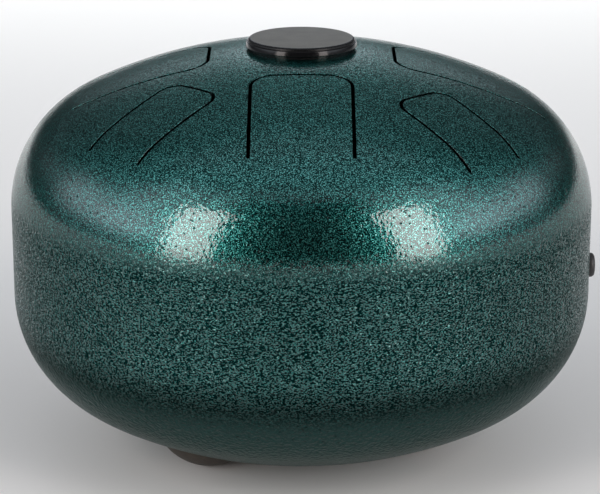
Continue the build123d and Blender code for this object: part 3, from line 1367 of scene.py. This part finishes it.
@dataclass
class RubberFoot:
    """A domed rubber foot, square to the bowl, with a base that follows it and a flat worn at the floor."""

    node: str
    place: Matrix
    stem: PushInStem
    bowl: float
    radius: float = 15.1 * MM
    height: float = 6.3 * MM
    seat_gap: float = 0.05 * MM
    edge_round: float = 0.35 * MM
    sides: int = 96
    dome_facets: int = 36
    seat_facets: int = 6

    def build(self, rubber: Material) -> Object:
        """Builds the foot and dresses it.

        Args:
            rubber: The feet's rubber.

        Returns:
            The foot.
        """
        ball = (self.radius**2 + self.height**2) / (2 * self.height)
        half = asin(self.radius / ball)
        centre = self.height - ball
        dome = [(ball * sin(a), centre + ball * cos(a), 0.0) for a in steps(0.0, half, self.dome_facets)]
        base = self.bowl + self.seat_gap
        mouth = self.stem.hole - self.stem.clearance
        leans = steps(asin(self.radius / base), asin(mouth / base), self.seat_facets)
        seat = [(base * sin(a), base * cos(a) - self.bowl, 0.0) for a in leans]
        dome[-1] = (*dome[-1][:2], self.edge_round)
        path = dome + seat + self.stem.section()
        foot = turned(f"{self.node}_rubber", rounded(path), self.sides, closed=False, place=self.place)
        for vertex in foot.data.vertices:
            vertex.co.z = max(vertex.co.z, 0.0)
        face_outwards(foot)
        dress(foot, rubber)
        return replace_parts(foot, self.node)


@dataclass
class SidePlug:
    """The small push-in plug in the wall, with a low rounded head."""

    place: Matrix
    stem: PushInStem
    overhang: float = 1.425 * MM
    height: float = 2.6 * MM
    edge_round: float = 1.5 * MM
    seat_round: float = 0.15 * MM
    seat_gap: float = 0.05 * MM
    facets: int = 10
    sides: int = 64

    def build(self, plastic: Material) -> Object:
        """Builds the plug and dresses it.

        Args:
            plastic: The plug's plastic.

        Returns:
            The plug.
        """
        head = self.stem.hole + self.overhang
        path = [
            (0.0, self.height, 0.0),
            (head, self.height, self.edge_round),
            (head, self.seat_gap, self.seat_round),
            (self.stem.hole - self.stem.clearance, self.seat_gap, 0.0),
            *self.stem.section(),
        ]
        section = rounded(path, self.facets)
        plug = turned("side_plug_moulding", section, self.sides, closed=False, place=self.place)
        dress(plug, plastic)
        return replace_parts(plug, "side_plug")


@dataclass
class CentrePlug:
    """The moulded plug in the crown: a rim that stands off the dome, snap fingers and a badge disc."""

    form: HeadForm
    seam: float
    sheet: float
    hole: float
    overhang: float = 1.55 * MM
    draft: float = 0.4 * MM
    rim_gap: float = 1.2 * MM
    seat_width: float = 0.7 * MM
    rim_top: float = 1.9 * MM
    top_plate: float = 1.4 * MM
    skirt: float = 1.4 * MM
    finger_count: int = 8
    finger_slot: float = 3.2 * MM
    clearance: float = 0.15 * MM
    seat_gap: float = 0.05 * MM
    barb_grip: float = 0.6 * MM
    barb_gap: float = 0.2 * MM
    barb_length: float = 2.4 * MM
    badge_inset: float = 0.6 * MM
    badge_recess: float = 0.9 * MM
    badge_rise: float = 1.1 * MM
    badge_round: float = 1.0 * MM
    badge_base_round: float = 0.1 * MM
    badge_facets: int = 12
    cup_round: float = 0.1 * MM
    lip_round: float = 0.12 * MM
    top_round: float = 0.25 * MM
    rim_round: float = 0.2 * MM
    seat_round: float = 0.15 * MM
    barb_round: float = 0.15 * MM
    finger_round: float = 0.2 * MM
    bore_round: float = 0.4 * MM
    sides: int = 192

    @property
    def rim(self) -> float:
        """The rim's outer radius."""
        return self.hole + self.overhang

    @property
    def crown(self) -> float:
        """The height of the dome's top, over the hole."""
        return self.seam + self.form.height(0.0)

    @property
    def badge_radius(self) -> float:
        """The badge disc's radius."""
        return self.rim - self.draft - self.badge_inset

    @property
    def top(self) -> float:
        """The height of the rim's top."""
        return self.crown + self.rim_top

    @property
    def recess(self) -> float:
        """The height of the recess that the badge disc lies in."""
        return self.top - self.badge_recess

    @property
    def shoulder(self) -> float:
        """The height of the snap fingers' shoulders, under the sheet."""
        return self.seam + self.form.height(self.hole + self.barb_grip, self.sheet) - self.barb_gap

    def build(self, plastic: Material, face: Material) -> list[Object]:
        """Builds the plug and its badge disc and dresses them.

        Args:
            plastic: The plug's plastic.
            face: The badge's finish.

        Returns:
            The plug and the badge disc.
        """
        return [self.build_plug(plastic), self.build_badge(face)]

    def build_plug(self, plastic: Material) -> Object:
        """Builds the plug with its snap fingers and dresses it.

        Args:
            plastic: The plug's plastic.

        Returns:
            The plug.
        """
        outer = self.hole - self.clearance
        bore = outer - self.skirt
        seat_end = self.hole + self.seat_width
        on_dome = [self.seam + self.form.height(r) + self.seat_gap for r in (seat_end, outer)]
        under_rim = self.seam + self.form.height(self.rim) + self.rim_gap
        end = self.shoulder - self.barb_length
        ledge, cup = self.rim - self.draft, self.badge_radius + self.clearance
        path = [
            (0.0, self.recess, 0.0),
            (cup, self.recess, self.cup_round),
            (cup, self.top, self.lip_round),
            (ledge, self.top, self.top_round),
            (self.rim, under_rim, self.rim_round),
            (seat_end, under_rim, self.seat_round),
            (seat_end, on_dome[0], 0.0),
            (outer, on_dome[1], 0.0),
            (outer, self.shoulder, 0.0),
            (self.hole + self.barb_grip, self.shoulder, self.barb_round),
            (outer - self.barb_grip, end, self.finger_round),
            (bore, end, self.finger_round),
            (bore, self.recess - self.top_plate, self.bore_round),
            (0.0, self.recess - self.top_plate, 0.0),
        ]
        plug = turned("centre_plug_moulding", rounded(path), self.sides, closed=False)
        slot_top = self.crown - 2 * self.sheet
        carve(plug, [self.slot_cutter(i, bore, end, slot_top) for i in range(self.finger_count)])
        dress(plug, plastic)
        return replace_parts(plug, "centre_plug")

    def build_badge(self, face: Material) -> Object:
        """Builds the badge disc and dresses it.

        Args:
            face: The badge's finish.

        Returns:
            The badge disc.
        """
        radius, low, high = self.badge_radius, self.recess + self.seat_gap, self.top + self.badge_rise
        path = [
            (0.0, low, 0.0),
            (radius, low, self.badge_base_round),
            (radius, high, self.badge_round),
            (0.0, high, 0.0),
        ]
        disc = turned("badge_disc_face", rounded(path, self.badge_facets), self.sides, closed=False)
        dress(disc, face)
        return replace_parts(disc, "badge_disc")

    def slot_cutter(self, index: int, bore: float, end: float, top: float) -> Object:
        """A block that cuts one slot between two snap fingers.

        Args:
            index: Which slot it is, counted round the plug.
            bore: The skirt's inner radius.
            end: The height of the fingers' ends.
            top: The height at which the slot stops.

        Returns:
            The cutter.
        """
        near, far, half = bore - 2 * self.skirt, bore + 3 * self.skirt, self.finger_slot / 2
        outline = (near, -half), (far, -half), (far, half), (near, half)
        corners = [(x, y, z) for z in (end - self.skirt, top) for x, y in outline]
        faces = [(3, 2, 1, 0), (4, 5, 6, 7)] + [(k, (k + 1) % 4, (k + 1) % 4 + 4, k + 4) for k in range(4)]
        mesh = bpy.data.meshes.new(f"finger_slot_{index}")
        spin = Matrix.Rotation(2 * pi * index / self.finger_count, 4, "Z")
        mesh.from_pydata([tuple(spin @ Vector(c)) for c in corners], [], faces)
        return link_object(mesh.name, mesh)


# Studio.


def area_lamp(name: str, width: float, height: float, power: float) -> Object:
    """Makes an oblong lamp that shines straight down.

    Args:
        name: The lamp's name.
        width: Its width.
        height: Its height.
        power: Its power in watts.

    Returns:
        The lamp.
    """
    lamp = bpy.data.lights.new(name, "AREA")
    lamp.shape, lamp.size, lamp.size_y, lamp.energy = "RECTANGLE", width, height, power
    return link_object(name, lamp)


@dataclass(frozen=True)
class SoftBox:
    """A tall soft lamp that faces the drum."""

    name: str
    bearing: float
    rise: float = 21.5
    distance: float = 3.0
    width: float = 0.98
    height: float = 2.4
    power: float = 43.0
    tint: Colour = (1.0, 0.91, 0.88)

    def build(self, target: Vector) -> Object:
        """Hangs the lamp.

        Args:
            target: The point that it faces.

        Returns:
            The lamp.
        """
        hung = area_lamp(self.name, self.width, self.height, self.power)
        hung.data.color = self.tint
        a, e = radians(self.bearing), radians(self.rise)
        away = Vector((sin(a) * cos(e), -cos(a) * cos(e), sin(e)))
        hung.location = target + away * self.distance
        hung.rotation_euler = away.to_track_quat("Z", "Y").to_euler()
        return hung


@dataclass
class Studio:
    """The pale floor, the soft lamps, the room around them and the camera.

    The room's walls and cove have stops: a bearing in degrees from the camera's side, and how light the room
    is there. A band says between which heights, from 0 level to 1 overhead, a part of the room runs into the
    next.
    """

    target: Vector
    camera_rise: float = 16.98
    camera_distance: float = 911.7 * MM
    lens: float = 145.19
    sensor: float = 36.0
    clip: Band = (0.05, 60.0)
    aim_left: float = 0.53 * MM
    aim_down: float = 2.52 * MM
    floor_radius: float = 9.0
    floor_sides: int = 96
    floor_colour: Colour = (0.88, 0.88, 0.8536)
    floor_roughness: float = 0.5
    floor_gloss: float = 0.15
    backdrop_power: float = 9.0
    backdrop_width: float = 2.4
    backdrop_length: float = 1.2
    backdrop_spread: float = 80.0
    backdrop_place: tuple[float, float, float] = (0.0, 1.45, 1.1)
    room_tint: Colour = (0.94, 0.99, 1.08)
    skirting: float = 0.15
    skirting_band: Band = (0.05, 0.30)
    walls: Stops = (
        (0.0, 0.02),
        (30.0, 0.03),
        (52.0, 1.5),
        (72.0, 2.4),
        (100.0, 1.6),
        (125.0, 0.25),
        (158.0, 0.15),
        (172.0, 0.8),
        (180.0, 2.0),
    )
    cove_band: Band = (0.32, 0.60)
    cove: Stops = (
        (0.0, 0.02),
        (26.0, 0.03),
        (50.0, 0.9),
        (72.0, 1.25),
        (100.0, 0.36),
        (130.0, 0.18),
        (180.0, 0.27),
    )
    zenith_band: Band = (0.82, 0.92)
    zenith: float = 0.60
    lamps: tuple[SoftBox, ...] = (
        SoftBox("left_softbox", bearing=-43.5),
        SoftBox("right_softbox", bearing=45.5),
    )

    def build(self) -> None:
        """Sets up the floor, the lamps, the room and the camera."""
        self.build_floor()
        for lamp in self.lamps:
            lamp.build(self.target)
        self.build_backdrop_lamp()
        self.build_room()
        self.build_camera()
        bpy.context.scene.view_settings.view_transform = "Standard"

    def build_floor(self) -> None:
        """Lays a plain pale floor."""
        mesh = bpy.data.meshes.new("floor")
        rim = [(x, y, 0.0) for x, y in around(self.floor_radius, self.floor_sides)]
        mesh.from_pydata(rim, [], [tuple(range(self.floor_sides))])
        floor = link_object("floor", mesh)
        material, bench, _, shader = new_material("pale_floor")
        set_inputs(bench, shader, {
            "Base Color": self.floor_colour,
            "Roughness": self.floor_roughness,
            "Specular IOR Level": self.floor_gloss,
        })
        mesh.materials.append(material)

    def build_backdrop_lamp(self) -> None:
        """Hangs a lamp with a narrow spread over the floor behind the drum, clear of the drum itself."""
        hung = area_lamp("backdrop_lamp", self.backdrop_width, self.backdrop_length, self.backdrop_power)
        hung.data.spread = radians(self.backdrop_spread)
        hung.location = self.backdrop_place

    def build_room(self) -> None:
        """Makes a white room that is dark behind the camera."""
        world = bpy.data.worlds.new("room")
        bpy.context.scene.world = world
        world.use_nodes = True
        bench = NodeBench(world.node_tree)
        towards = bench.add("ShaderNodeTexCoord").outputs["Generated"]
        split = bench.add("ShaderNodeSeparateXYZ", {0: towards})
        aside = bench.math("ABSOLUTE", split.outputs["X"])
        bearing = bench.math("ARCTAN2", aside, bench.times(split.outputs["Y"], -1.0))
        rise = split.outputs["Z"]
        rings: list[NodeSocket] = []
        for stops in (self.walls, self.cove):
            ring = bench.add("ShaderNodeValToRGB", {0: bench.math("DIVIDE", bearing, pi)})
            ramp = ring.color_ramp
            ramp.interpolation = "EASE"
            for i, (angle, tone) in enumerate(stops):
                stop = ramp.elements[i] if i < 2 else ramp.elements.new(angle / 180.0)
                stop.position, stop.color = angle / 180.0, (tone, tone, tone, 1.0)
            rings.append(ring.outputs[0])
        low = bench.fit(rise, *self.skirting_band, self.skirting, 1.0)
        lit = bench.mix(low, (0.0, 0.0, 0.0), rings[0])
        sides = bench.mix(bench.fit(rise, *self.cove_band), lit, rings[1])
        tone = bench.mix(bench.fit(rise, *self.zenith_band), sides, (self.zenith, self.zenith, self.zenith))
        cool = bench.vector("MULTIPLY", tone, self.room_tint)
        light = bench.add("ShaderNodeBackground", {"Color": cool, "Strength": 1.0})
        bench.add("ShaderNodeOutputWorld", {"Surface": light.outputs[0]})

    def build_camera(self) -> None:
        """Stands the camera where the photograph was taken from."""
        data = bpy.data.cameras.new("camera")
        data.lens, data.sensor_width = self.lens, self.sensor
        data.clip_start, data.clip_end = self.clip
        camera = link_object("camera", data)
        e = radians(self.camera_rise)
        back, up = Vector((0.0, -cos(e), sin(e))), Vector((0.0, sin(e), cos(e)))
        camera.location = self.target + back * self.camera_distance
        aim = self.target + Vector((-self.aim_left, 0.0, 0.0)) - up * self.aim_down
        camera.rotation_euler = (camera.location - aim).to_track_quat("Z", "Y").to_euler()
        bpy.context.scene.camera = camera


# The drum.


@dataclass
class Drum:
    """The whole drum, with its main sizes read from the frame."""

    frame: dict[str, Any]
    sheet: float = 2.0 * MM
    kerf: float = 1.2 * MM
    upper_dome: float = 193.0 * MM
    upper_wall: float = 1.4 * MM
    lower_dome: float = 171.0 * MM
    lower_wall: float = 31.4 * MM
    weld_root: float = 0.8 * MM
    crown_hole: float = 19.05 * MM
    port: float = 32.0 * MM
    foot_hole: float = 4.0 * MM
    side_hole: float = 3.175 * MM
    stem_end: float = 0.3 * MM

    def __post_init__(self) -> None:
        """Reads the drum's radius, seam and push-in places from the frame."""
        weld_low, weld_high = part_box("seam_weld")
        self.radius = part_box("lower_shell")[1].x
        self.seam = (weld_low.z + weld_high.z) / 2
        self.weld_face = weld_high.z - weld_low.z
        self.upper = HeadForm(self.radius, self.upper_dome, self.upper_wall)
        self.lower = HeadForm(self.radius, self.lower_dome, self.lower_wall)
        self.bowl_centre = Vector((0.0, 0.0, self.seam - self.lower.dome_centre))

    def foot_place(self, node: str) -> Matrix:
        """Where a foot meets the bowl, with its axis out of the steel.

        Args:
            node: The foot's node.

        Returns:
            Its place.
        """
        low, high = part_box(node)
        centre = (low + high) / 2
        turn = atan2(centre.y, centre.x)
        splay = self.foot_splay(node)
        out = Vector((sin(splay) * cos(turn), sin(splay) * sin(turn), -cos(splay)))
        turned_out = out.to_track_quat("Z", "Y").to_matrix().to_4x4()
        return Matrix.Translation(self.bowl_centre + out * self.lower.dome) @ turned_out

    def foot_splay(self, node: str) -> float:
        """The angle from the axis at which a foot stands on the bowl.

        Args:
            node: The foot's node.

        Returns:
            The angle, from the middle of the foot's stem end.
        """
        points = [v.co for v in self.frame["nodes"][node].data.vertices]
        nearest = min((p - self.bowl_centre).length for p in points)
        end = [p for p in points if (p - self.bowl_centre).length < nearest + self.stem_end]
        middle = sum(end, Vector((0.0, 0.0, 0.0))) / len(end) - self.bowl_centre
        return atan2(hypot(middle.x, middle.y), -middle.z)

    def side_place(self) -> Matrix:
        """Where the side plug meets the wall, with its axis out of the steel."""
        low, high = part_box("side_plug")
        return Matrix.Translation((self.radius, 0.0, (low.z + high.z) / 2)) @ Matrix.Rotation(pi / 2, 4, "Y")

    def build(self) -> list[Object]:
        """Builds every piece of the drum.

        Returns:
            The pieces, and the weld that the frame has.
        """
        paint = HammeredPaint().material()
        gloss = GlossMoulding().material()
        common = (self.seam, self.sheet)
        plug = CentrePlug(self.upper, *common, self.crown_hole)
        badge = BadgeGrain(plug.badge_radius - plug.badge_round).material()
        rubber = SatinRubber(
            PaintSlot.FOOT.value, colour=(0.030, 0.023, 0.016), dust=(0.062, 0.050, 0.036), roughness=0.52
        ).material()
        satin = SatinRubber(
            PaintSlot.SIDE_PLUG.value, colour=(0.018, 0.018, 0.019), dust=(0.04, 0.04, 0.038), roughness=0.42
        ).material()
        tongues = [TonguePlan.from_joint(joint, self.kerf) for joint in self.frame["joints"]]
        rims = (self.weld_face / 2, self.weld_root / 2)
        upper_shell = UpperShell(self.upper, *common, self.crown_hole, tongues, *rims, kerf=self.kerf)
        pieces = upper_shell.build(paint)
        feet = {node: self.foot_place(node) for node in self.frame["nodes"] if node.startswith("foot_")}
        holes = [(place, self.foot_hole) for place in feet.values()] + [(self.side_place(), self.side_hole)]
        pieces.append(LowerShell(self.lower, *common, self.port, *rims, holes).build(paint))
        weld = self.frame["nodes"]["seam_weld"]
        weld.data.materials.clear()
        weld.data.materials.append(paint)
        pieces.append(weld)
        pieces += plug.build(gloss, badge)
        pieces.append(SidePlug(self.side_place(), PushInStem(self.side_hole, self.sheet)).build(satin))
        for node, place in feet.items():
            foot = RubberFoot(node, place, PushInStem(self.foot_hole, self.sheet), self.lower.dome)
            pieces.append(foot.build(rubber))
        return pieces


def main() -> None:
    """Loads the frame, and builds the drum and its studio."""
    logging.basicConfig(level=logging.INFO, format="%(name)s: %(message)s")
    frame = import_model()
    for piece in Drum(frame).build():
        LOG.info("%s: %d faces, %s", piece.name, len(piece.data.polygons), piece.data.materials[0].name)
    Studio(Vector((0.0, 0.0, VIEW_HEIGHT))).build()


if __name__ == "__main__":
    main()
